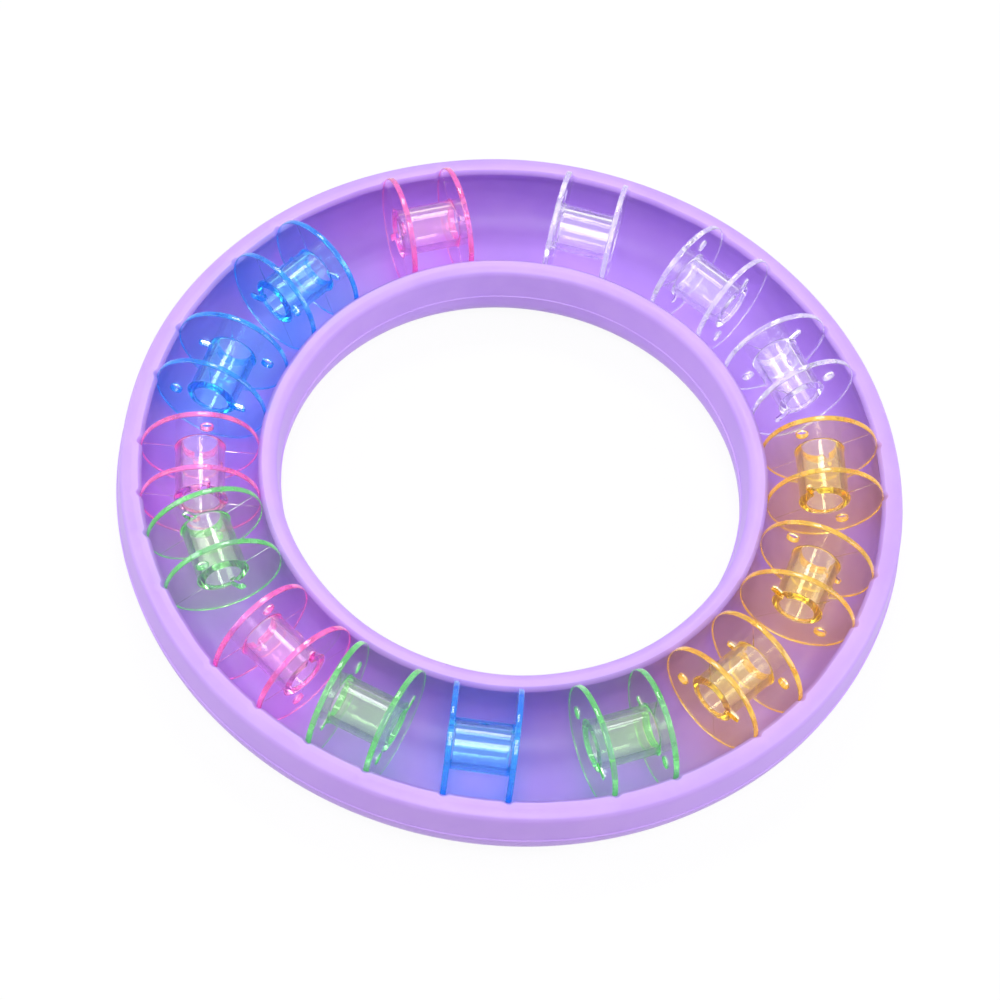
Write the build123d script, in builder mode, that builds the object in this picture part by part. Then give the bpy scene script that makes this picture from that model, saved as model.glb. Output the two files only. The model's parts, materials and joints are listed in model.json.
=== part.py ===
from build123d import *
import os
from math import atan2, cos, degrees, hypot, radians, sin

os.makedirs("parts", exist_ok=True)

# Soft ring that stores fifteen thread bobbins on edge, in millimetres.
# The origin is the middle of the ring's flat underside, and +Z points up out of the open channel.

# Thread bobbin, one clear moulding
flange_diameter = 20.3
flange_thickness = 1.0
bobbin_width = 11.6
hub_diameter = 8.5
bore_diameter = 6.2
key_slot_width = 1.1
key_slot_reach = 6.4
thread_hole_diameter = 2.0
thread_hole_offset = 6.45

# Ring, one soft moulding
ring_height = 14.0
seat_radius = 54.0
floor_thickness = 1.5
rim_wall = 3.0
wall_draft = 0.6
parting_height = 7.5
parting_bead_height = 0.5
parting_bead_proud = 0.2
parting_bead_margin = 0.2
rim_outer_bevel = 0.8
lip_overhang = 0.85
lip_edge_height = 0.55
lip_bevel = 0.7
channel_corner_bevel = 4.5
outer_underside_round = 7.0
hole_underside_round = 6.0

# Running gaps between the ring and a bobbin
side_clearance = 0.25
floor_clearance = 0.3
lip_slot_side_clearance = 0.25
lip_slot_end_clearance = 0.2

# Going round the ring towards increasing azimuth: the bobbin's name, its spin about its own axis in
# degrees, and the share of the free channel that is left open after it
first_azimuth = 9.5
bobbin_row = [
    ("bobbin_amber_1", 308, 8.0),
    ("bobbin_clear_1", 46, 9.0),
    ("bobbin_clear_2", 241, 12.0),
    ("bobbin_clear_3", 245, 16.0),
    ("bobbin_pink_1", 300, 14.5),
    ("bobbin_blue_1", 330, 10.0),
    ("bobbin_blue_2", 179, 7.0),
    ("bobbin_pink_2", 101, 1.5),
    ("bobbin_green_1", 236, 9.5),
    ("bobbin_pink_3", 103, 3.5),
    ("bobbin_green_2", 178, 6.0),
    ("bobbin_blue_3", 75, 10.0),
    ("bobbin_green_3", 182, 8.5),
    ("bobbin_amber_2", 195, 10.0),
    ("bobbin_amber_3", 321, 9.0),
]

# Sizes that follow from the ones above
flange_radius = flange_diameter / 2
hub_radius = hub_diameter / 2
bore_radius = bore_diameter / 2
half_width = bobbin_width / 2
bobbin_axis_height = floor_thickness + floor_clearance + flange_radius

# A flange is flat and the channel is curved, so its far corners set where each wall stands.
channel_outer = hypot(seat_radius + flange_radius, half_width) + side_clearance
channel_inner = hypot(seat_radius - flange_radius, half_width - flange_thickness) - side_clearance
rim_outer = channel_outer + rim_wall
rim_inner = channel_inner - rim_wall
outer_radius = rim_outer + wall_draft
hole_radius = rim_inner - wall_draft

# Each wall ends in a lip that leans in over the channel: a bevel down from the rim, a short upright
# edge, and a slant back to the wall.
lip_outer = channel_outer - lip_overhang
lip_inner = channel_inner + lip_overhang
lip_top = ring_height - lip_bevel
lip_foot = lip_top - lip_edge_height
lip_root = lip_foot - lip_overhang

# Each bobbin takes this angle of the channel at the inner wall, and the rest is shared out as gaps.
bobbin_angle = 2 * degrees(atan2(half_width, channel_inner))
free_angle = 360 - len(bobbin_row) * bobbin_angle
gap_per_share = free_angle / sum(share for _, _, share in bobbin_row)


def azimuths():
    """Where each bobbin's middle stands round the ring, in degrees from +X."""
    angle = first_azimuth
    places = []
    for _, _, share in bobbin_row:
        places.append(angle)
        angle += bobbin_angle + gap_per_share * share
    return places


def bobbin_plane(azimuth, spin):
    """Plane through a bobbin's middle: its z runs along the bore, its x points to the key slot."""
    turn = radians(azimuth)
    radial = Vector(cos(turn), sin(turn), 0)
    tangent = Vector(-sin(turn), cos(turn), 0)
    slot_way = radial * cos(radians(spin)) + Vector(0, 0, 1) * sin(radians(spin))
    middle = radial * seat_radius + Vector(0, 0, bobbin_axis_height)
    return Plane(origin=middle, x_dir=slot_way, z_dir=tangent)


# Ring: the section is drawn to one side of the axis and turned all the way round. Its underside
# rounds end a margin below the parting bead, so a little upright wall is left there.
bead_top = parting_height + parting_bead_height / 2
bead_foot = parting_height - parting_bead_height / 2
outer_round = min(outer_underside_round, bead_foot - parting_bead_margin)
inner_round = min(hole_underside_round, bead_foot - parting_bead_margin)

with BuildPart() as holder_ring:
    with BuildSketch(Plane.XZ) as ring_section:
        with BuildLine():
            # Outer side: rim, drafted wall, parting bead and quarter-round underside
            outer_side = Polyline(
                (lip_outer + lip_bevel, ring_height),
                (rim_outer, ring_height),
                (outer_radius, bead_top),
                (outer_radius + parting_bead_proud, parting_height),
                (outer_radius, bead_foot),
                (outer_radius, outer_round),
            )
            outer_under = RadiusArc(outer_side @ 1, (outer_radius - outer_round, 0), outer_round)
            base = Line(outer_under @ 1, (hole_radius + inner_round, 0))
            # Hole side: the same in mirror image, with a smaller underside round
            inner_under = RadiusArc(base @ 1, (hole_radius, inner_round), inner_round)
            inner_side = Polyline(
                inner_under @ 1,
                (hole_radius, bead_foot),
                (hole_radius - parting_bead_proud, parting_height),
                (hole_radius, bead_top),
                (rim_inner, ring_height),
                (lip_inner - lip_bevel, ring_height),
            )
            # Channel: a lip at the top of each upright wall, a floor, and a wide bevel at its corners
            Polyline(
                inner_side @ 1,
                (lip_inner, lip_top),
                (lip_inner, lip_foot),
                (channel_inner, lip_root),
                (channel_inner, floor_thickness + channel_corner_bevel),
                (channel_inner + channel_corner_bevel, floor_thickness),
                (channel_outer - channel_corner_bevel, floor_thickness),
                (channel_outer, floor_thickness + channel_corner_bevel),
                (channel_outer, lip_root),
                (lip_outer, lip_foot),
                (lip_outer, lip_top),
                outer_side @ 0,
            )
        make_face()
        rim_points = ring_section.vertices().group_by(Axis.Y)[-1].sort_by(Axis.X)
        chamfer([rim_points[0], rim_points[-1]], length=rim_outer_bevel)
    revolve(axis=Axis.Z)

    # The soft lips give way where a flange presses on them, so each has a slot there, and a bobbin
    # lifts straight out through its four slots.
    lip_slots = []
    for azimuth in azimuths():
        turn = Location((0, 0, 0), (0, 0, azimuth))
        for side in (1, -1):
            flange_offset = side * (half_width - flange_thickness / 2)
            lip_slots.append(turn * Location((seat_radius, flange_offset, lip_root)))
    with Locations(*lip_slots):
        Box(
            2 * (flange_radius + lip_slot_end_clearance),
            flange_thickness + 2 * lip_slot_side_clearance,
            3 * (ring_height - lip_root),
            mode=Mode.SUBTRACT,
        )
holder_ring.part.label = "holder_ring"
export_step(holder_ring.part, "parts/holder_ring.step")


def make_bobbin(label, azimuth, spin):
    """Make one bobbin where it stands in the channel, with its bore along the ring's tangent."""
    axle = bobbin_plane(azimuth, spin)
    section_plane = Plane(origin=axle.origin, x_dir=axle.x_dir, z_dir=axle.y_dir * -1)
    flange_reach = flange_radius - bore_radius
    flange_middle = bore_radius + flange_reach / 2
    slot_start = bore_radius - key_slot_width
    slot_length = key_slot_reach - slot_start

    with BuildPart() as bobbin:
        # Half section through the tubular hub and both flanges, turned about the bore
        with BuildSketch(section_plane):
            with Locations(((hub_radius + bore_radius) / 2, 0)):
                Rectangle(hub_radius - bore_radius, bobbin_width)
            for side in (1, -1):
                with Locations((flange_middle, side * (half_width - flange_thickness / 2))):
                    Rectangle(flange_reach, flange_thickness)
        revolve(axis=Axis(axle.origin, axle.z_dir))

        # Each flange has a key slot that opens from the bore and a thread hole opposite it. The two
        # flanges are turned half a turn from each other.
        for side in (1, -1):
            with BuildSketch(axle.offset(side * half_width)):
                with Locations((side * (slot_start + slot_length / 2), 0)):
                    Rectangle(slot_length, key_slot_width)
                with Locations((-side * thread_hole_offset, 0)):
                    Circle(thread_hole_diameter / 2)
            extrude(amount=-side * flange_thickness, mode=Mode.SUBTRACT)
    bobbin.part.label = label
    export_step(bobbin.part, "parts/" + label + ".step")


for (label, spin, _), azimuth in zip(bobbin_row, azimuths()):
    make_bobbin(label, azimuth, spin)

print("outside diameter", round(2 * outer_radius, 1))
print("hole diameter", round(2 * hole_radius, 1))
print("channel width", round(channel_outer - channel_inner, 2))
print("azimuths", [round(angle, 1) for angle in azimuths()])
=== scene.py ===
"""Bobbin storage ring: a soft lavender ring whose channel grips fifteen clear thread bobbins.

Lengths are in millimetres in the classes below and become metres when a mesh is made, because
the frame is in metres. The studio's own places and sizes are in metres.
"""

import json
import logging
import math
from collections.abc import Callable
from dataclasses import dataclass, field
from enum import Enum

import bpy
from mathutils import Matrix, Vector

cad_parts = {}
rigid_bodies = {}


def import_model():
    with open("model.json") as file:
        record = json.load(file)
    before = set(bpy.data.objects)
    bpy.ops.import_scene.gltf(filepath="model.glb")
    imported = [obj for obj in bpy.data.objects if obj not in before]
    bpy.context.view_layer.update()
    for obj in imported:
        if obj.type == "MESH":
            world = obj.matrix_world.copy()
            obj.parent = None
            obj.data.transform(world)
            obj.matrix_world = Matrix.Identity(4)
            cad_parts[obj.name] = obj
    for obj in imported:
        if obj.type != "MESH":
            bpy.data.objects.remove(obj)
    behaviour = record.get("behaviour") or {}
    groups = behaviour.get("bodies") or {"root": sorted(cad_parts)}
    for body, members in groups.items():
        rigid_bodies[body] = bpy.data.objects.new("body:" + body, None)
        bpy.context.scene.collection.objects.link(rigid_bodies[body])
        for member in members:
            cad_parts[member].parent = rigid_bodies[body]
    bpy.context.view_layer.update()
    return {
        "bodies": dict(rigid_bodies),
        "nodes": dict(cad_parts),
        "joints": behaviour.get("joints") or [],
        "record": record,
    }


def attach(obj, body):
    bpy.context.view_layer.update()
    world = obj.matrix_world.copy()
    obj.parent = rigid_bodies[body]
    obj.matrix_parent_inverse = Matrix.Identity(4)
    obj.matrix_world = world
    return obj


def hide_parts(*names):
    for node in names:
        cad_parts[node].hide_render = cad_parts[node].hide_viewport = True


MM = 0.001
PAINTED_CHANNEL_SHADE_SHARE = "painted_channel_shade_share"
PAINTED_EDGE_LIGHT_SHARE = "painted_edge_light_share"

# A turn below this many radians is no corner
LEAST_TURN = 1e-4

# How much a large flat face counts when shared normals are worked out, out of 100
FLAT_FACE_WEIGHT = 80

# A noise texture's values lie mostly between these two
NOISE_LOW = 0.3
NOISE_HIGH = 0.7

# Sockets of the colour mixing node, whose names are shared by its other kinds
MIX_SHARE, MIX_FIRST, MIX_SECOND, MIX_RESULT = 0, 6, 7, 2

WHITE = (1.0, 1.0, 1.0)
BLACK = (0.0, 0.0, 0.0)

log = logging.getLogger("bobbin_ring")

Point = tuple[float, float]
Corner = tuple[float, float, float]
Place = tuple[float, float, float]
Colour = tuple[float, float, float]
Stop = tuple[float, Colour]
Face = tuple[int, ...]
Socket = bpy.types.NodeSocket


class Shaping(Enum):
    """What one solid does to another."""

    CUT = "DIFFERENCE"
    JOIN = "UNION"


# Small helpers


def smooth_step(value: float, low: float, high: float) -> float:
    """Ease from 0 at low to 1 at high.

    Args:
        value: Where along the ramp to look.
        low: Start of the ramp.
        high: End of the ramp.

    Returns:
        A share from 0 to 1.
    """
    share = min(max((value - low) / (high - low), 0.0), 1.0)
    return share * share * (3.0 - 2.0 * share)


def rounded_outline(corners: list[Corner], arc_step: float) -> list[Point]:
    """Turn a closed polygon with a radius at each corner into a list of points.

    Args:
        corners: Each corner's two coordinates and its radius, in order round the outline.
        arc_step: The most that one step of an arc may turn, in degrees.

    Returns:
        The outline's points, with each rounded corner as an arc.
    """
    points: list[Point] = []
    count = len(corners)
    for index, (x, y, radius) in enumerate(corners):
        here = Vector((x, y))
        before = Vector(corners[index - 1][:2])
        after = Vector(corners[(index + 1) % count][:2])
        way_in = (here - before).normalized()
        way_out = (after - here).normalized()
        turn = way_in.angle_signed(way_out, 0.0) * -1.0
        if radius <= 0.0 or abs(turn) < LEAST_TURN:
            points.append((here.x, here.y))
            continue
        trim = radius * math.tan(abs(turn) / 2.0)
        start = here - way_in * trim
        side = Vector((-way_in.y, way_in.x)) * math.copysign(1.0, turn)
        centre = start + side * radius
        steps = max(2, math.ceil(math.degrees(abs(turn)) / arc_step))
        spoke = start - centre
        for step in range(steps + 1):
            angle = turn * step / steps
            turned = Matrix.Rotation(angle, 2) @ spoke
            points.append((centre.x + turned.x, centre.y + turned.y))
    return points


def subdivided(points: list[Point], longest: float) -> list[Point]:
    """Add points along a closed outline so that no step is longer than given.

    Args:
        points: The outline.
        longest: The longest step that may stay.

    Returns:
        The outline with the added points.
    """
    finer: list[Point] = []
    for index, (x, y) in enumerate(points):
        next_x, next_y = points[(index + 1) % len(points)]
        pieces = max(1, math.ceil(math.hypot(next_x - x, next_y - y) / longest))
        for piece in range(pieces):
            share = piece / pieces
            finer.append((x + (next_x - x) * share, y + (next_y - y) * share))
    return finer


def mesh_from(name: str, vertices: list[Place], faces: list[Face]) -> bpy.types.Object:
    """Make a mesh object in the scene.

    Args:
        name: The object's name.
        vertices: Points, in the units of the caller.
        faces: Each face's vertex numbers, counter-clockwise seen from outside.

    Returns:
        The new object.
    """
    mesh = bpy.data.meshes.new(name)
    mesh.from_pydata(vertices, [], faces)
    mesh.validate()
    mesh.update()
    made = bpy.data.objects.new(name, mesh)
    bpy.context.scene.collection.objects.link(made)
    return made


def lathe(name: str, outline: list[Point], segments: int) -> bpy.types.Object:
    """Turn a closed outline of (radius, height) about the Z axis.

    Args:
        name: The object's name.
        outline: The section, counter-clockwise with radius to the right and height up.
        segments: Steps round the axis.

    Returns:
        The closed mesh as an object.
    """
    return swept_ring(name, lambda _: outline, len(outline), segments)


def swept_ring(
    name: str, section_at: Callable[[float], list[Point]], count: int, segments: int
) -> bpy.types.Object:
    """Turn a closed outline about Z, with the outline free to change on its way round.

    Args:
        name: The object's name.
        section_at: Gives the section at an angle in radians, always with as many points.
        count: That number of points.
        segments: Steps round the axis.

    Returns:
        The closed mesh as an object.
    """
    vertices: list[Place] = []
    faces: list[Face] = []
    for segment in range(segments):
        angle = 2.0 * math.pi * segment / segments
        for radius, height in section_at(angle):
            vertices.append((radius * math.cos(angle), radius * math.sin(angle), height))
        first = segment * count
        following = ((segment + 1) % segments) * count
        for index in range(count):
            beside = (index + 1) % count
            faces.append((first + index, following + index, following + beside, first + beside))
    return mesh_from(name, vertices, faces)


def stacked_prism(name: str, loops: list[list[Place]]) -> bpy.types.Object:
    """Join loops of points into a closed prism.

    Args:
        name: The object's name.
        loops: From bottom to top, each counter-clockwise seen from above, all with equal counts.

    Returns:
        The closed mesh as an object.
    """
    count = len(loops[0])
    vertices = [point for loop in loops for point in loop]
    faces: list[Face] = [tuple(reversed(range(count)))]
    for level in range(len(loops) - 1):
        low = level * count
        high = low + count
        for index in range(count):
            beside = (index + 1) % count
            faces.append((low + index, low + beside, high + beside, high + index))
    top = (len(loops) - 1) * count
    faces.append(tuple(top + index for index in range(count)))
    return mesh_from(name, vertices, faces)


def obround(start_x: float, end_x: float, radius: float, steps: int) -> list[Point]:
    """Outline of a slot with round ends along X.

    Args:
        start_x: Middle of the first round end.
        end_x: Middle of the second round end.
        radius: Half the slot's width.
        steps: Steps in each half circle.

    Returns:
        The outline, counter-clockwise.
    """
    points: list[Point] = []
    for middle, first_angle in ((end_x, -math.pi / 2.0), (start_x, math.pi / 2.0)):
        for step in range(steps + 1):
            angle = first_angle + math.pi * step / steps
            points.append((middle + radius * math.cos(angle), radius * math.sin(angle)))
    return points


def combine(target: bpy.types.Object, tool: bpy.types.Object, shaping: Shaping) -> None:
    """Cut a tool out of a target, or join it on, and remove the tool.

    Args:
        target: The mesh that changes.
        tool: The mesh that is used up.
        shaping: Whether it is cut out or joined on.
    """
    modifier = target.modifiers.new("combine", "BOOLEAN")
    modifier.operation = shaping.value
    modifier.solver = "EXACT"
    modifier.object = tool
    settle(target)
    bpy.data.objects.remove(tool)


def settle(target: bpy.types.Object) -> None:
    """Apply all of an object's modifiers to its mesh.

    Args:
        target: The object whose mesh is replaced.
    """
    graph = bpy.context.evaluated_depsgraph_get()
    made = bpy.data.meshes.new_from_object(target.evaluated_get(graph))
    made.name = target.name
    target.modifiers.clear()
    target.data = made


def shade_smooth(target: bpy.types.Object, sharp_from: float, weighted: bool) -> None:
    """Shade a mesh smoothly, with edges sharper than an angle left sharp.

    Args:
        target: The object to shade.
        sharp_from: The angle in degrees.
        weighted: True lets large flat faces keep their own normals.
    """
    target.data.shade_smooth()
    target.data.set_sharp_from_angle(angle=math.radians(sharp_from))
    if weighted:
        modifier = target.modifiers.new("flat_faces", "WEIGHTED_NORMAL")
        modifier.keep_sharp = True
        modifier.weight = FLAT_FACE_WEIGHT
        settle(target)


# Finishes


class Nodes:
    """A short way to build one node tree."""

    def __init__(self, name: str) -> None:
        """Start an empty material of this name."""
        self.material = bpy.data.materials.new(name)
        self.start(self.material, "ShaderNodeOutputMaterial")

    def start(self, owner: bpy.types.Material | bpy.types.World, output: str) -> None:
        """Empty the owner's node tree and give it its output node.

        Args:
            owner: The material or world that has the tree.
            output: The output node's type name.
        """
        owner.use_nodes = True
        self.tree = owner.node_tree
        self.tree.nodes.clear()
        self.output = self.tree.nodes.new(output)

    @classmethod
    def for_world(cls, world: bpy.types.World) -> "Nodes":
        """Start an empty tree for the surroundings.

        Args:
            world: The world that gets the tree.

        Returns:
            The tree's builder.
        """
        nodes = cls.__new__(cls)
        nodes.start(world, "ShaderNodeOutputWorld")
        return nodes

    def add(self, kind: str, **values: object) -> bpy.types.Node:
        """Add a node and set its sockets by name, or its properties where no socket has the name.

        Args:
            kind: The node's type name without the ShaderNode in front.
            **values: Socket or property names, with underscores for spaces.

        Returns:
            The new node.
        """
        node = self.tree.nodes.new("ShaderNode" + kind)
        for key, value in values.items():
            socket = node.inputs.get(key.replace("_", " "))
            if socket is None:
                setattr(node, key, value)
            else:
                socket.default_value = value
        return node

    def link(self, source: Socket, target: Socket) -> None:
        """Join an output socket to an input socket."""
        self.tree.links.new(source, target)

    def noise(self, place: Socket, size: float, detail: float, roughness: float) -> Socket:
        """Add a noise texture.

        Args:
            place: The place on the object.
            size: The size of its patches in millimetres.
            detail: How many finer layers lie over them.
            roughness: How strong those layers are.

        Returns:
            The noise value's socket.
        """
        node = self.add("TexNoise", Scale=1.0 / (size * MM), Detail=detail, Roughness=roughness)
        self.link(place, node.inputs["Vector"])
        return node.outputs["Fac"]

    def ramp(self, source: Socket, low: Stop, high: Stop) -> Socket:
        """Add a colour ramp driven by a socket.

        Args:
            source: The value that drives the ramp.
            low: The lower stop's place and linear colour.
            high: The upper stop's place and linear colour.

        Returns:
            The colour's socket.
        """
        node = self.add("ValToRGB")
        for element, (place, colour) in zip(node.color_ramp.elements, (low, high)):
            element.position = place
            element.color = (*colour, 1.0)
        self.link(source, node.inputs["Fac"])
        return node.outputs["Color"]

    def blend_colours(self, share: Socket, first: Socket, second: Socket) -> Socket:
        """Mix two colours.

        Args:
            share: 0 for the first colour only, 1 for the second only.
            first: The first colour.
            second: The second colour.

        Returns:
            The mixed colour's socket.
        """
        node = self.add("Mix", data_type="RGBA")
        self.link(share, node.inputs[MIX_SHARE])
        self.link(first, node.inputs[MIX_FIRST])
        self.link(second, node.inputs[MIX_SECOND])
        return node.outputs[MIX_RESULT]

    def blend_shaders(self, share: Socket, first: Socket, second: Socket) -> Socket:
        """Mix two shaders.

        Args:
            share: 0 for the first shader only, 1 for the second only.
            first: The first shader.
            second: The second shader.

        Returns:
            The mixed shader's socket.
        """
        node = self.add("MixShader")
        self.link(share, node.inputs["Fac"])
        self.link(first, node.inputs[1])
        self.link(second, node.inputs[2])
        return node.outputs["Shader"]

    def reckon(self, operation: str, first: Socket, second: Socket | float) -> Socket:
        """Work out a value from two others.

        Args:
            operation: The name of the math node's operation.
            first: The first value.
            second: The second value, or a fixed number.

        Returns:
            The result's socket.
        """
        node = self.add("Math", operation=operation)
        self.link(first, node.inputs[0])
        if isinstance(second, float):
            node.inputs[1].default_value = second
        else:
            self.link(second, node.inputs[1])
        return node.outputs["Value"]

    def mapped(self, source: Socket, low: float, high: float) -> Socket:
        """Map a noise value's usual range onto another.

        Args:
            source: The noise value.
            low: What the usual range's low end becomes.
            high: What its high end becomes.

        Returns:
            The mapped value's socket.
        """
        ends = {"From_Min": NOISE_LOW, "From_Max": NOISE_HIGH, "To_Min": low, "To_Max": high}
        node = self.add("MapRange", **ends)
        self.link(source, node.inputs["Value"])
        return node.outputs["Result"]

    def bump(self, height: Socket, strength: float, distance: float) -> Socket:
        """Turn a height into a bumped normal.

        Args:
            height: The height, from 0 to 1.
            strength: How strongly the bump shows.
            distance: The height that 1 stands for, in millimetres.

        Returns:
            The normal's socket.
        """
        node = self.add("Bump", Strength=strength, Distance=distance * MM)
        self.link(height, node.inputs["Height"])
        return node.outputs["Normal"]


def linear(red: int, green: int, blue: int) -> Colour:
    """Turn an sRGB colour of 0 to 255 into linear shares."""
    shares = [value / 255.0 for value in (red, green, blue)]
    return tuple(s / 12.92 if s <= 0.04045 else ((s + 0.055) / 1.055) ** 2.4 for s in shares)


@dataclass(frozen=True)
class RubberFinish:
    """Soft satin rubber with fine mottling, a slight glow under the skin, and painted shade on its
    sides and in its channel.
    """

    name: str = "lavender_rubber"
    colour: Colour = linear(207, 171, 250)
    colour_deep: Colour = linear(201, 164, 248)
    # Painted shade: the sides and the channel get darker colours that stand in for the light they
    # miss
    painted_side_shade: Colour = linear(202, 163, 248)
    painted_side_shade_deep: Colour = linear(196, 156, 246)
    # Painted shade: the channel's darker colours stand in for the light that does not reach into
    # it
    painted_channel_shade: Colour = linear(170, 130, 220)
    painted_channel_shade_deep: Colour = linear(163, 123, 217)
    mottle_low: float = 0.35
    mottle_high: float = 0.65
    painted_side_shade_full_below: float = 0.2
    painted_side_shade_none_above: float = 0.8
    refraction: float = 1.42
    roughness_low: float = 0.34
    roughness_high: float = 0.46
    glow_share: float = 0.12
    glow_depth: float = 1.2
    glow_reach: Colour = (1.0, 0.7, 1.0)
    mottle_size: float = 9.0
    grain_size: float = 0.35
    grain_height: float = 0.006
    grain_strength: float = 0.5

    def make(self) -> bpy.types.Material:
        """Build the material.

        Returns:
            The material.
        """
        nodes = Nodes(self.name)
        place = nodes.add("TexCoord").outputs["Object"]
        mottle = nodes.noise(place, self.mottle_size, detail=3.0, roughness=0.5)
        grain = nodes.noise(place, self.grain_size, detail=2.0, roughness=0.6)
        skin = nodes.add("BsdfPrincipled", IOR=self.refraction)
        skin.inputs["Subsurface Weight"].default_value = self.glow_share
        skin.inputs["Subsurface Scale"].default_value = self.glow_depth * MM
        skin.inputs["Subsurface Radius"].default_value = self.glow_reach
        rough = nodes.mapped(mottle, self.roughness_low, self.roughness_high)
        normal = nodes.bump(grain, self.grain_strength, self.grain_height)
        nodes.link(self.colour_with_painted_shade(nodes, mottle), skin.inputs["Base Color"])
        nodes.link(rough, skin.inputs["Roughness"])
        nodes.link(normal, skin.inputs["Normal"])
        nodes.link(skin.outputs["BSDF"], nodes.output.inputs["Surface"])
        return nodes.material

    def colour_with_painted_shade(self, nodes: Nodes, mottle: Socket) -> Socket:
        """Give the rim its own mottled colour, with painted shade on the sides and a deeper
        painted shade in the channel.

        Args:
            nodes: The material's builder.
            mottle: The mottling's value.

        Returns:
            The colour's socket.
        """
        shades = [
            nodes.ramp(mottle, (self.mottle_low, deep), (self.mottle_high, pale))
            for deep, pale in (
                (self.colour_deep, self.colour),
                (self.painted_side_shade_deep, self.painted_side_shade),
                (self.painted_channel_shade_deep, self.painted_channel_shade),
            )
        ]
        rim, sides, channel = shades
        # Painted shade: faces that stand upright take the darker side colour, as if less light
        # falls on them
        slope = nodes.add("SeparateXYZ")
        nodes.link(nodes.add("NewGeometry").outputs["Normal"], slope.inputs["Vector"])
        upright = nodes.ramp(slope.outputs["Z"], (self.painted_side_shade_full_below, WHITE), (self.painted_side_shade_none_above, BLACK))
        outside = nodes.blend_colours(upright, rim, sides)
        # Painted shade: the channel and the bevels of its lips take a darker colour where less
        # light reaches in
        share = nodes.add("Attribute", attribute_name=PAINTED_CHANNEL_SHADE_SHARE).outputs["Fac"]
        return nodes.blend_colours(share, outside, channel)


@dataclass(frozen=True)
class PlasticFinish:
    """Clear moulded plastic that is pale face on, with painted light in deep colour on its edges
    and a painted pale highlight on its hub.
    """

    name: str
    stain: Colour
    stain_strength: float
    surface_tint: Colour
    lamp_tint: Colour
    # Painted light: the edges get a bright colour that partly glows, standing in for light caught
    # in the plastic's edges
    painted_edge_light_colour: Colour
    painted_light_cover_low: float = 0.24
    painted_light_cover_high: float = 0.55
    painted_glow_strength: float = 0.2
    edge_roughness: float = 0.2
    edge_coat: float = 0.6
    painted_hub_whiteness: float = 0.7
    painted_hub_ramp_stop: float = 0.3
    painted_rim_ramp_stop: float = 0.9
    refraction: float = 1.49
    roughness_low: float = 0.015
    roughness_high: float = 0.06
    haze_size: float = 1.2
    ripple_size: float = 3.0
    ripple_height: float = 0.004
    ripple_strength: float = 0.3

    def make(self) -> bpy.types.Material:
        """Build the material.

        Returns:
            The material.
        """
        nodes = Nodes(self.name)
        place = nodes.add("TexCoord").outputs["Object"]
        ripple = nodes.noise(place, self.ripple_size, detail=2.0, roughness=0.45)
        haze = nodes.noise(place, self.haze_size, detail=4.0, roughness=0.65)
        body = nodes.add("BsdfPrincipled", IOR=self.refraction, Transmission_Weight=1.0)
        body.inputs["Base Color"].default_value = (*self.surface_tint, 1.0)
        rough = nodes.mapped(haze, self.roughness_low, self.roughness_high)
        nodes.link(rough, body.inputs["Roughness"])
        normal = nodes.bump(ripple, self.ripple_strength, self.ripple_height)
        nodes.link(normal, body.inputs["Normal"])
        # Painted light: faces marked as edges mix in the bright, glowing edge shader
        share = nodes.add("Attribute", attribute_name=PAINTED_EDGE_LIGHT_SHARE).outputs["Fac"]
        uneven = nodes.mapped(ripple, self.painted_light_cover_low, self.painted_light_cover_high)
        cover = nodes.reckon("MULTIPLY", share, uneven)
        solid = nodes.blend_shaders(cover, body.outputs["BSDF"], self.painted_edge_shader(nodes, share))
        lamp_way = nodes.add("BsdfTransparent", Color=(*self.lamp_tint, 1.0))
        in_shadow = nodes.add("LightPath").outputs["Is Shadow Ray"]
        surface = nodes.blend_shaders(in_shadow, solid, lamp_way.outputs["BSDF"])
        nodes.link(surface, nodes.output.inputs["Surface"])
        stain = nodes.add("VolumeAbsorption", Density=self.stain_strength)
        stain.inputs["Color"].default_value = (*self.stain, 1.0)
        nodes.link(stain.outputs["Volume"], nodes.output.inputs["Volume"])
        return nodes.material

    def painted_edge_shader(self, nodes: Nodes, share: Socket) -> Socket:
        """Give the shader of the painted edge light, a bright glowing colour that is paler on the
        hub as a painted highlight.

        Args:
            nodes: The material's builder.
            share: The share of painted edge light that each face has.

        Returns:
            The shader's socket.
        """
        paleness = self.painted_hub_whiteness
        pale = tuple(paleness + (1.0 - paleness) * part for part in self.painted_edge_light_colour)
        lit = nodes.ramp(share, (self.painted_hub_ramp_stop, pale), (self.painted_rim_ramp_stop, self.painted_edge_light_colour))
        edge = nodes.add("BsdfPrincipled", Roughness=self.edge_roughness)
        edge.inputs["Coat Weight"].default_value = self.edge_coat
        edge.inputs["Emission Strength"].default_value = self.painted_glow_strength
        nodes.link(lit, edge.inputs["Base Color"])
        nodes.link(lit, edge.inputs["Emission Color"])
        return edge.outputs["BSDF"]


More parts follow.
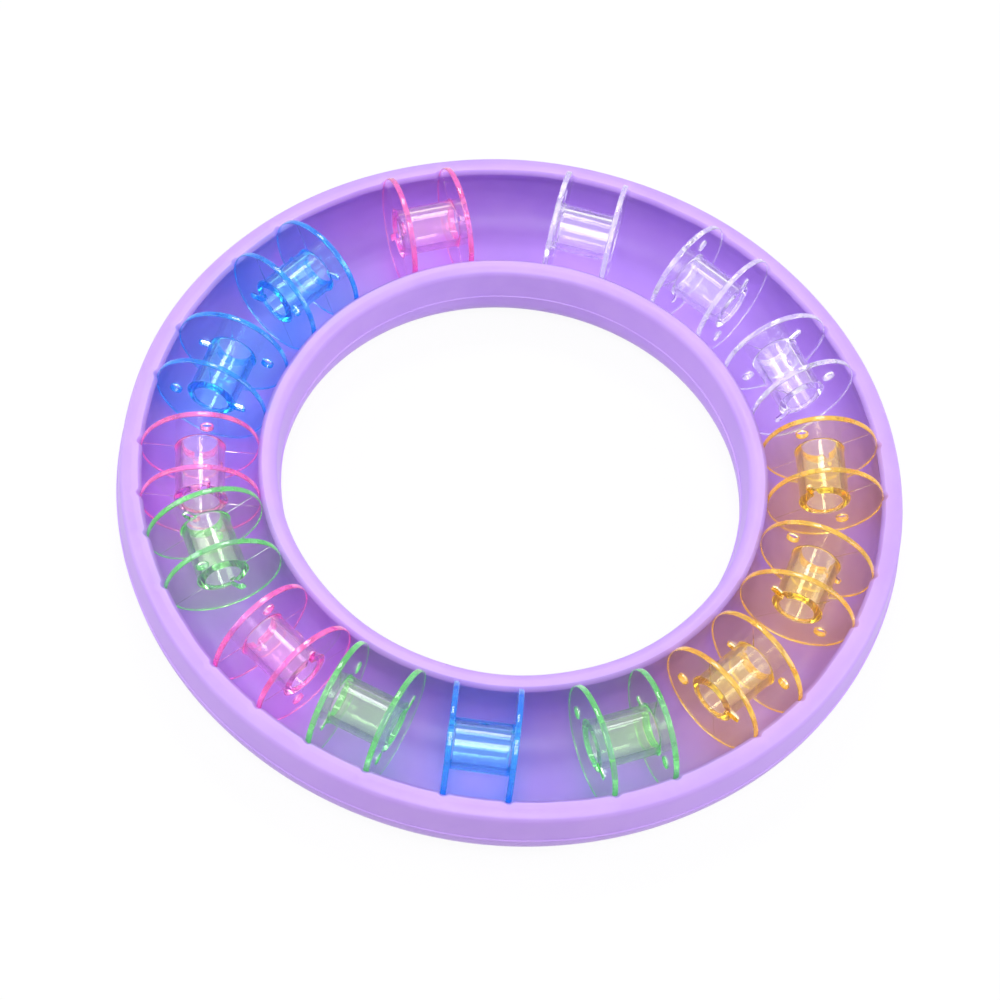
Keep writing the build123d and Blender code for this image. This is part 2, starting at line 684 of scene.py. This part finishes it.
class BobbinColour(Enum):
    """The plastics that the bobbins come in."""

    AMBER = PlasticFinish(
        name="amber_plastic",
        stain=(1.0, 0.90, 0.0),
        stain_strength=220.0,
        surface_tint=(1.0, 0.985, 0.86),
        lamp_tint=(0.95, 0.91, 0.80),
        painted_edge_light_colour=linear(248, 198, 88),
    )
    CLEAR = PlasticFinish(
        name="clear_plastic",
        stain=(0.50, 0.40, 1.0),
        stain_strength=8.0,
        surface_tint=WHITE,
        lamp_tint=(0.93, 0.93, 0.95),
        painted_edge_light_colour=linear(226, 218, 250),
        painted_light_cover_low=0.15,
        painted_light_cover_high=0.45,
    )
    PINK = PlasticFinish(
        name="pink_plastic",
        stain=(1.0, 0.0, 0.75),
        stain_strength=75.0,
        surface_tint=(1.0, 0.93, 0.98),
        lamp_tint=(0.95, 0.87, 0.93),
        painted_edge_light_colour=linear(250, 125, 205),
    )
    BLUE = PlasticFinish(
        name="blue_plastic",
        stain=(0.0, 0.86, 1.0),
        stain_strength=260.0,
        surface_tint=(0.90, 0.98, 1.0),
        lamp_tint=(0.80, 0.92, 0.95),
        painted_edge_light_colour=linear(45, 150, 245),
        painted_hub_whiteness=0.2,
    )
    GREEN = PlasticFinish(
        name="green_plastic",
        stain=(0.0, 0.92, 0.0),
        stain_strength=80.0,
        surface_tint=(0.93, 1.0, 0.85),
        lamp_tint=(0.88, 0.94, 0.85),
        painted_edge_light_colour=linear(130, 215, 150),
    )


# The object's own sub-assemblies


@dataclass
class ThreadBobbin:
    """One moulded bobbin: two flanges on a tubular hub, with its bore along local Z."""

    flange_radius: float = 10.15
    flange_thickness: float = 1.0
    half_width: float = 5.8
    hub_radius: float = 4.25
    bore_radius: float = 3.1
    flange_edge_round: float = 0.22
    hub_corner_round: float = 0.35
    bore_mouth_round: float = 0.2
    key_slot_width: float = 1.1
    key_slot_reach: float = 6.4
    thread_hole_radius: float = 1.0
    thread_hole_offset: float = 6.45
    mouth_bevel: float = 0.12
    mould_line_width: float = 0.16
    mould_line_height: float = 0.05
    mould_line_sunk: float = 0.3
    mould_line_margin: float = 0.1
    gate_length: float = 1.7
    gate_width: float = 0.7
    gate_height: float = 0.18
    gate_shoulder: float = 0.6
    gate_top: float = 0.55
    gate_sunk: float = 0.5
    gate_turn: float = 40.0
    cutter_over: float = 0.4
    slot_cutter_over: float = 0.03
    # How much of the painted edge light the hub shows, as a painted pale highlight
    hub_painted_highlight: float = 0.12
    # Limits that sort the faces into rims, bore mouths, hub and hole walls for the painted edge
    # light
    edge_slack: float = 0.02
    hub_slack: float = 0.3
    hole_wall_start: float = 0.05
    hole_wall_margin: float = 1.0
    hole_wall_depth: float = 0.08
    hole_wall_lean: float = 0.9
    hole_wall_slack: float = 0.1
    # How finely each round is made
    segments: int = 168
    arc_step: float = 30.0
    slot_end_steps: int = 10
    hole_steps: int = 14
    gate_steps: int = 24
    sharp_from: float = 34.0

    def prototype(self) -> bpy.types.Mesh:
        """Build the bobbin once, about the origin, in metres.

        Returns:
            The closed mesh, with no material.
        """
        body = lathe("bobbin_prototype", self.section(), self.segments)
        for side in (1.0, -1.0):
            combine(body, self.key_slot(side), Shaping.CUT)
            combine(body, self.thread_hole(side), Shaping.CUT)
        for side in (1.0, -1.0):
            for way in (1.0, -1.0):
                combine(body, self.mould_line(side, way), Shaping.JOIN)
        combine(body, self.gate_mark(), Shaping.JOIN)
        # Each face keeps its share of the painted edge light
        shares = [self.painted_edge_light_share(body.data, face) for face in body.data.polygons]
        stored = body.data.attributes.new(PAINTED_EDGE_LIGHT_SHARE, "FLOAT", "FACE")
        stored.data.foreach_set("value", shares)
        body.data.transform(Matrix.Scale(MM, 4))
        shade_smooth(body, self.sharp_from, weighted=True)
        mesh = body.data
        bpy.data.objects.remove(body)
        return mesh

    def section(self) -> list[Point]:
        """Give the half section through hub and flanges.

        Returns:
            The outline as (radius, height), counter-clockwise.
        """
        inner = self.half_width - self.flange_thickness
        edge = self.flange_edge_round
        corners: list[Corner] = [
            (self.bore_radius, -self.half_width, self.bore_mouth_round),
            (self.flange_radius, -self.half_width, edge),
            (self.flange_radius, -inner, edge),
            (self.hub_radius, -inner, self.hub_corner_round),
            (self.hub_radius, inner, self.hub_corner_round),
            (self.flange_radius, inner, edge),
            (self.flange_radius, self.half_width, edge),
            (self.bore_radius, self.half_width, self.bore_mouth_round),
        ]
        return rounded_outline(corners, self.arc_step)

    def painted_edge_light_share(self, mesh: bpy.types.Mesh, face: bpy.types.MeshPolygon) -> float:
        """Tell how much painted edge light a face gets, which makes its edges look bright and
        glowing.

        Args:
            mesh: The bobbin's mesh in millimetres.
            face: The face to look at.

        Returns:
            1 for a flange's rim and for the walls of its holes, less for the hub, 0 for the rest.
        """
        points = [mesh.vertices[index].co for index in face.vertices]
        spans = [math.hypot(point.x, point.y) for point in points]
        height = abs(face.center.z)
        if min(spans) > self.flange_radius - self.flange_edge_round - self.edge_slack:
            return 1.0
        in_bore = max(spans) < self.bore_radius + self.bore_mouth_round + self.edge_slack
        if in_bore and height > self.half_width - self.bore_mouth_round - self.edge_slack:
            return 1.0
        inner = self.half_width - self.flange_thickness
        if max(spans) < self.hub_radius + self.hub_slack and height < inner:
            return self.hub_painted_highlight
        in_flange = (
            min(spans) > self.bore_radius + self.hole_wall_start
            and max(spans) < self.flange_radius - self.hole_wall_margin
            and height > inner - self.hole_wall_slack
        )
        depth = max(point.z for point in points) - min(point.z for point in points)
        upright = abs(face.normal.z) < self.hole_wall_lean and depth > self.hole_wall_depth
        past_hub = abs(face.center.x) > self.hub_radius
        return 1.0 if in_flange and upright and past_hub else 0.0

    def key_slot(self, side: float) -> bpy.types.Object:
        """Give the cutter for one flange's key slot, with a bevel at its outer mouth.

        Args:
            side: 1 for the flange at positive Z, -1 for the other.

        Returns:
            The cutter.
        """
        radius = self.key_slot_width / 2.0
        ends = (self.bore_radius - radius, self.key_slot_reach - radius)
        inner = self.half_width - self.flange_thickness
        levels = [
            (inner - self.slot_cutter_over, 0.0),
            (self.half_width - self.mouth_bevel, 0.0),
            (self.half_width + self.cutter_over, self.mouth_bevel + self.cutter_over),
        ]
        return self.cutter("slot_cutter", side, ends, radius, levels, self.slot_end_steps)

    def thread_hole(self, side: float) -> bpy.types.Object:
        """Give the cutter for one flange's thread hole, with a bevel at both mouths.

        Args:
            side: 1 for the flange at positive Z, -1 for the other.

        Returns:
            The cutter.
        """
        ends = (-self.thread_hole_offset, -self.thread_hole_offset)
        inner = self.half_width - self.flange_thickness
        levels = [
            (inner - self.cutter_over, self.mouth_bevel + self.cutter_over),
            (inner + self.mouth_bevel, 0.0),
            (self.half_width - self.mouth_bevel, 0.0),
            (self.half_width + self.cutter_over, self.mouth_bevel + self.cutter_over),
        ]
        radius = self.thread_hole_radius
        return self.cutter("hole_cutter", side, ends, radius, levels, self.hole_steps)

    @staticmethod
    def cutter(
        name: str,
        side: float,
        ends: tuple[float, float],
        radius: float,
        levels: list[tuple[float, float]],
        steps: int,
    ) -> bpy.types.Object:
        """Build a cutter with round ends for one flange.

        The lower flange's is turned half a turn about the bore and made downwards.

        Args:
            name: The object's name.
            side: 1 for the flange at positive Z, -1 for the other.
            ends: Where along X the middles of its two round ends lie.
            radius: Half its width.
            levels: Each level's height and how much wider the cutter is there, rising.
            steps: Steps in each round end.

        Returns:
            The cutter.
        """
        loops = []
        for height, grown in levels:
            outline = obround(*ends, radius + grown, steps)
            loops.append([(side * x, side * y, side * height) for x, y in outline])
        return stacked_prism(name, loops if side > 0.0 else loops[::-1])

    def mould_line(self, side: float, way: float) -> bpy.types.Object:
        """Give the fine raised line that the split mould leaves on a flange's inner face.

        Args:
            side: 1 for the flange at positive Z, -1 for the other.
            way: 1 for the line towards positive Y, -1 for the other.

        Returns:
            The thin bar, sunk into the flange and the hub.
        """
        half = self.mould_line_width / 2.0
        near = self.hub_radius - self.mould_line_sunk
        far = self.flange_radius - self.flange_edge_round - self.mould_line_margin
        face = self.half_width - self.flange_thickness
        low = face - self.mould_line_height
        high = face + self.mould_line_sunk
        first, last = sorted((way * near, way * far))
        corners = [(-half, first), (half, first), (half, last), (-half, last)]
        heights = sorted((side * low, side * high))
        loops = [[(x, y, height) for x, y in corners] for height in heights]
        return stacked_prism("mould_line", loops)

    def gate_mark(self) -> bpy.types.Object:
        """Give the low oval mark that the moulding gate leaves half way along the hub.

        Returns:
            The mark, sunk into the hub.
        """
        levels = (
            (1.0, -self.gate_sunk),
            (1.0, self.gate_shoulder * self.gate_height),
            (self.gate_top, self.gate_height),
        )
        loops = []
        for share, height in levels:
            loop = []
            for step in range(self.gate_steps):
                angle = 2.0 * math.pi * step / self.gate_steps
                across = 0.5 * self.gate_width * share * math.cos(angle)
                along = 0.5 * self.gate_length * share * math.sin(angle)
                loop.append((along, self.hub_radius + height, across))
            loops.append(loop)
        along_bore = Matrix.Rotation(math.pi / 2.0, 4, "Y")
        round_bore = Matrix.Rotation(math.radians(180.0 + self.gate_turn), 4, "Z")
        mark = stacked_prism("gate_mark", loops)
        mark.data.transform(round_bore @ along_bore)
        return mark


@dataclass
class HolderRing:
    """The soft ring: a U-shaped channel whose lips lean in over the flanges."""

    height: float = 14.0
    floor: float = 1.5
    channel_outer: float = 64.66
    channel_inner: float = 43.86
    wall: float = 3.0
    draft: float = 0.6
    # The bead that the split mould leaves round both sides
    parting_height: float = 7.5
    bead_proud: float = 0.17
    bead_below: float = 0.3
    bead_above: float = 0.25
    bead_low_slope: float = 0.16
    bead_high_slope: float = 0.14
    bead_low_round: float = 0.08
    bead_high_round: float = 0.1
    bead_foot_round: float = 0.05
    bead_step: float = 0.02
    # Rounds, and the flat band on top of each lip
    shoulder_round: float = 1.5
    outer_underside_round: float = 7.0
    hole_underside_round: float = 6.0
    channel_corner_round: float = 7.0
    lip_band: float = 0.68
    lip_round: float = 0.3
    rim_round: float = 0.12
    # Where the painted shade of the channel begins on a lip, and how far under the floor it ends
    painted_channel_shade_start: float = 0.5
    painted_shade_under_floor: float = 0.2
    # How far the lips lean in, over which heights, and how much of the outside stays upright
    lean: float = 0.66
    lean_at_flange: float = 0.22
    lean_in_gap: float = 0.1
    lean_depth: float = 3.4
    lean_top: float = 0.8
    skin_kept: float = 0.7
    # Distances from the nearest flange: the lip leans most in wide gaps, and is dented by it
    gap_start: float = 4.0
    gap_full: float = 10.0
    dent_clear: float = 0.3
    dent_reach: float = 0.9
    flange_offset: float = 5.3
    # Slow waves of the walls: each one's size, its count round the ring and where it starts
    waves: tuple[tuple[float, float, float], ...] = ((0.05, 5.0, 0.7), (0.04, 11.0, 2.1))
    wave_middle: float = -0.09
    wave_depth: float = 10.0
    wave_top: float = 1.0
    # How finely the section and the turn are made
    arc_step: float = 13.0
    longest_step: float = 1.1
    sharp_from: float = 50.0
    segments: int = 900
    bobbin_angles: list[float] = field(default_factory=list)

    def build(self) -> bpy.types.Object:
        """Build the ring's mesh in metres.

        Returns:
            The closed mesh as an object.
        """
        base = self.section()
        made = swept_ring(
            "lavender_ring", lambda angle: self.leaned(base, angle), len(base), self.segments
        )
        made.data.transform(Matrix.Scale(MM, 4))
        # Each point keeps its share of the painted channel shade
        shares = [self.painted_channel_shade_share(point) for point in base]
        stored = made.data.attributes.new(PAINTED_CHANNEL_SHADE_SHARE, "FLOAT", "POINT")
        stored.data.foreach_set("value", shares * self.segments)
        shade_smooth(made, self.sharp_from, weighted=False)
        return made

    def section(self) -> list[Point]:
        """Give the section before its lips lean.

        Returns:
            The outline as (radius, height), counter-clockwise.
        """
        outer = self.side_corners(self.channel_outer, 1.0, self.outer_underside_round)
        inner = self.side_corners(self.channel_inner, -1.0, self.hole_underside_round)
        outline = rounded_outline(outer + inner[::-1], self.arc_step)
        return subdivided(outline, self.longest_step)

    def side_corners(self, channel: float, way: float, underside_round: float) -> list[Corner]:
        """Give one side's corners, from the base up its outside and down into the channel.

        Args:
            channel: The radius of the channel's wall on that side.
            way: 1 for the outer side, -1 for the side of the hole.
            underside_round: The radius between that side and the base.

        Returns:
            The corners, each with its rounding radius.
        """
        face = channel + way * self.wall + way * self.draft
        proud = face + way * self.bead_proud
        low = self.parting_height - self.bead_below
        high = self.parting_height + self.bead_above
        return [
            (face, 0.0, underside_round),
            (face, low, self.bead_foot_round),
            (proud, low + self.bead_low_slope, self.bead_low_round),
            (proud, high - self.bead_high_slope, self.bead_high_round),
            (face - way * self.bead_step, high, self.bead_foot_round),
            (face - way * self.draft, self.height, self.shoulder_round),
            (channel + way * self.lip_band, self.height, self.rim_round),
            (channel, self.height - self.lip_band, self.lip_round),
            (channel, self.floor, self.channel_corner_round),
        ]

    def painted_channel_shade_share(self, point: Point) -> float:
        """Tell how much painted channel shade a point of the section gets.

        Args:
            point: The point's radius and height before the lips lean.

        Returns:
            0 outside the channel and 1 in it, with a short ramp over each lip.
        """
        radius, height = point
        if height < self.floor - self.painted_shade_under_floor:
            return 0.0
        start = self.painted_channel_shade_start
        outer, inner = self.channel_outer, self.channel_inner
        past_outer = smooth_step(radius, outer + start, outer + self.lip_band)
        past_inner = smooth_step(-radius, start - inner, self.lip_band - inner)
        return 1.0 - max(past_outer, past_inner)

    def leaned(self, base: list[Point], angle: float) -> list[Point]:
        """Lean the channel's lips in, the outer one less where a flange presses on it.

        Args:
            base: The section before its lips lean.
            angle: Where round the ring, in radians.

        Returns:
            The section at that angle.
        """
        outer_lean = self.outer_lean(angle)
        middle = (self.channel_outer + self.channel_inner) / 2.0
        outer_skin = self.channel_outer + self.wall - self.skin_kept
        inner_skin = self.channel_inner - self.wall + self.skin_kept
        swings = (size * math.sin(turns * angle + start) for size, turns, start in self.waves)
        wander = sum(swings) + self.wave_middle
        lean_from, lean_to = self.height - self.lean_depth, self.height - self.lean_top
        wave_from, wave_to = self.height - self.wave_depth, self.height - self.wave_top
        points: list[Point] = []
        for radius, height in base:
            in_skin = radius > outer_skin or radius < inner_skin
            share = 0.0 if in_skin else smooth_step(height, lean_from, lean_to)
            shift = -outer_lean if radius > middle else self.lean_at_flange
            reach = smooth_step(height, wave_from, wave_to) * wander
            away = reach if radius > middle else -reach
            points.append((radius + share * shift + away, height))
        return points

    def outer_lean(self, angle: float) -> float:
        """Give how far the outer lip leans in at one angle.

        Args:
            angle: Where round the ring, in radians.

        Returns:
            The lean in millimetres.
        """
        offset = math.atan2(self.flange_offset, self.channel_outer)
        nearest = math.inf
        for middle in self.bobbin_angles:
            for flange in (middle + offset, middle - offset):
                turn = (angle - flange + math.pi) % (2.0 * math.pi) - math.pi
                nearest = min(nearest, abs(turn) * self.channel_outer)
        in_gap = smooth_step(nearest, self.gap_start, self.gap_full)
        free = self.lean + self.lean_in_gap * in_gap
        share = smooth_step(nearest, self.dent_clear, self.dent_reach)
        return self.lean_at_flange + (free - self.lean_at_flange) * share


@dataclass
class Assembly:
    """The ring with its bobbins, placed by the frame."""

    frame: dict
    spins: dict[str, float]

    def seat(self, name: str) -> tuple[Vector, Vector]:
        """Read a bobbin's middle and bore direction from its mount in the record.

        Args:
            name: The bobbin's name without the word bobbin.

        Returns:
            The middle in metres and the unit vector along the bore.
        """
        for mount in self.frame["record"]["mounts"]:
            if mount["name"] == "bore_" + name:
                return Vector(mount["pos_m"]), Vector(mount["axis"]).normalized()
        raise ValueError(f"no bore mount for {name}")

    def build_ring(self) -> None:
        """Build, dress and place the ring."""
        middles = [self.seat(name)[0] for name in self.spins]
        angles = [math.atan2(middle.y, middle.x) for middle in middles]
        ring = HolderRing(bobbin_angles=angles).build()
        ring.data.materials.append(RubberFinish().make())
        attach(ring, "ring")
        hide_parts("holder_ring")
        log.info("ring: %d faces", len(ring.data.polygons))

    def build_bobbins(self) -> None:
        """Build, dress and place every bobbin."""
        shape = ThreadBobbin().prototype()
        finishes = {colour: colour.value.make() for colour in BobbinColour}
        for name, degrees in self.spins.items():
            colour = BobbinColour[name.split("_")[0].upper()]
            middle, bore = self.seat(name)
            outward = Vector((middle.x, middle.y, 0.0)).normalized()
            spin = math.radians(degrees)
            slot_way = outward * math.cos(spin) + Vector((0.0, 0.0, 1.0)) * math.sin(spin)
            across = bore.cross(slot_way)
            turn = Matrix((slot_way, across, bore)).transposed().to_4x4()
            mesh = shape.copy()
            mesh.transform(Matrix.Translation(middle) @ turn)
            mesh.materials.append(finishes[colour])
            piece = bpy.data.objects.new("clear_bobbin_" + name, mesh)
            bpy.context.scene.collection.objects.link(piece)
            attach(piece, "bobbin_" + name)
            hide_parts("bobbin_" + name)
        log.info("bobbins: %d of %d faces", len(self.spins), len(shape.polygons))


# The studio


@dataclass(frozen=True)
class ViewPoint:
    """The camera, fitted to the ring's circles in the photograph.

    Its place and aim are in millimetres, and its limits of sight in metres.
    """

    place: Place = (0.0, -256.8, 407.4)
    aim: Place = (-1.64, 0.96, 0.0)
    roll: float = 0.1513
    focal_length: float = 98.1
    sensor_width: float = 36.0
    nearest_seen: float = 0.01
    farthest_seen: float = 20.0

    def make(self) -> None:
        """Create the camera and make it the scene's camera."""
        data = bpy.data.cameras.new("camera")
        data.lens = self.focal_length
        data.sensor_width = self.sensor_width
        data.clip_start = self.nearest_seen
        data.clip_end = self.farthest_seen
        camera = bpy.data.objects.new("camera", data)
        bpy.context.scene.collection.objects.link(camera)
        forward = (Vector(self.aim) - Vector(self.place)).normalized()
        right = forward.cross(Vector((0.0, 0.0, 1.0))).normalized()
        up = right.cross(forward)
        turned_right = right * math.cos(self.roll) + up * math.sin(self.roll)
        turned_up = up * math.cos(self.roll) - right * math.sin(self.roll)
        turn = Matrix((turned_right, turned_up, -forward)).transposed().to_4x4()
        camera.matrix_world = Matrix.Translation(Vector(self.place) * MM) @ turn
        bpy.context.scene.camera = camera


@dataclass(frozen=True)
class SoftLamp:
    """One large square softbox that faces the middle of the ring, placed in metres."""

    name: str
    place: Place
    size: float
    power: float

    def make(self) -> None:
        """Create the lamp."""
        data = bpy.data.lights.new(self.name, "AREA")
        data.size = self.size
        data.energy = self.power
        lamp = bpy.data.objects.new(self.name, data)
        bpy.context.scene.collection.objects.link(lamp)
        lamp.location = self.place
        way = Vector() - Vector(self.place)
        lamp.rotation_mode = "QUATERNION"
        lamp.rotation_quaternion = way.to_track_quat("-Z", "Y")


@dataclass(frozen=True)
class Studio:
    """Pale floor, white surroundings and soft light."""

    floor_size: float = 4.0
    floor_colour: float = 0.75
    floor_glow: float = 0.93
    ambient_low: float = 0.336
    ambient_high: float = 0.224
    # A ray with fewer matt bounces than this has had none
    before_first_bounce: float = 0.5
    light_bounces: int = 18
    see_through_bounces: int = 64
    lamps: tuple[SoftLamp, ...] = (
        SoftLamp("back_softbox", (-0.08, 0.42, 0.68), size=0.20, power=1.5),
        SoftLamp("front_softbox", (0.03, -0.34, 0.80), size=0.38, power=3.4),
        SoftLamp("left_softbox", (-0.80, 0.0, 0.46), size=0.5, power=3.0),
        SoftLamp("right_softbox", (0.80, 0.05, 0.46), size=0.5, power=3.0),
    )

    def make(self) -> None:
        """Create the floor, the world, the lamps and the camera."""
        self.make_floor()
        self.make_world()
        for lamp in self.lamps:
            lamp.make()
        ViewPoint().make()
        scene = bpy.context.scene
        scene.view_settings.view_transform = "Standard"
        scene.cycles.max_bounces = self.light_bounces
        scene.cycles.glossy_bounces = self.light_bounces
        scene.cycles.transmission_bounces = self.light_bounces
        scene.cycles.transparent_max_bounces = self.see_through_bounces

    def seen_directly(self, nodes: Nodes) -> Socket:
        """Tell rays that show the surroundings themselves from rays that light a surface.

        Args:
            nodes: The material or world that asks.

        Returns:
            A socket that is 1 for camera, mirror and see-through rays and 0 for the rest.
        """
        light = nodes.add("LightPath")
        shown = light.outputs["Is Camera Ray"]
        for kind in ("Is Glossy Ray", "Is Transmission Ray"):
            shown = nodes.reckon("MAXIMUM", shown, light.outputs[kind])
        depth = light.outputs["Diffuse Depth"]
        before = nodes.reckon("LESS_THAN", depth, self.before_first_bounce)
        return nodes.reckon("MULTIPLY", shown, before)

    def make_floor(self) -> None:
        """Create the floor, which shows nearly white and keeps the ring's shadow."""
        half = self.floor_size / 2.0
        corners = [(-half, -half, 0.0), (half, -half, 0.0), (half, half, 0.0), (-half, half, 0.0)]
        floor = mesh_from("floor", corners, [(0, 1, 2, 3)])
        nodes = Nodes("pale_floor")
        seen = self.seen_directly(nodes)
        grey = (self.floor_colour, self.floor_colour, self.floor_colour)
        plain = nodes.add("BsdfDiffuse")
        nodes.link(nodes.ramp(seen, (0.0, grey), (1.0, WHITE)), plain.inputs["Color"])
        glow = nodes.add("Emission", Strength=1.0)
        share = nodes.reckon("MULTIPLY", seen, self.floor_glow)
        surface = nodes.blend_shaders(share, plain.outputs["BSDF"], glow.outputs["Emission"])
        nodes.link(surface, nodes.output.inputs["Surface"])
        floor.data.materials.append(nodes.material)

    def make_world(self) -> None:
        """Create surroundings that look white and light the object softly, more from low down."""
        world = bpy.data.worlds.new("studio")
        bpy.context.scene.world = world
        nodes = Nodes.for_world(world)
        parts = nodes.add("SeparateXYZ")
        nodes.link(nodes.add("TexCoord").outputs["Generated"], parts.inputs["Vector"])
        level = nodes.add("MapRange", To_Min=self.ambient_low, To_Max=self.ambient_high)
        nodes.link(parts.outputs["Z"], level.inputs["Value"])
        strength = nodes.add("Mix", B=1.0)
        nodes.link(self.seen_directly(nodes), strength.inputs["Factor"])
        nodes.link(level.outputs["Result"], strength.inputs["A"])
        background = nodes.add("Background", Color=(*WHITE, 1.0))
        nodes.link(strength.outputs["Result"], background.inputs["Strength"])
        nodes.link(background.outputs["Background"], nodes.output.inputs["Surface"])


# Each bobbin's spin about its own bore in degrees, going round the ring from the right towards
# the far side. A bobbin's name starts with its colour.
SPINS = {
    "amber_1": 308.0,
    "clear_1": 46.0,
    "clear_2": 241.0,
    "clear_3": 245.0,
    "pink_1": 300.0,
    "blue_1": 330.0,
    "blue_2": 179.0,
    "pink_2": 101.0,
    "green_1": 236.0,
    "pink_3": 103.0,
    "green_2": 178.0,
    "blue_3": 75.0,
    "green_3": 182.0,
    "amber_2": 195.0,
    "amber_3": 321.0,
}


def main() -> None:
    """Build the whole scene round the frame."""
    logging.basicConfig(level=logging.INFO, format="%(message)s")
    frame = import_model()
    assembly = Assembly(frame, SPINS)
    assembly.build_ring()
    assembly.build_bobbins()
    Studio().make()


if __name__ == "__main__":
    main()
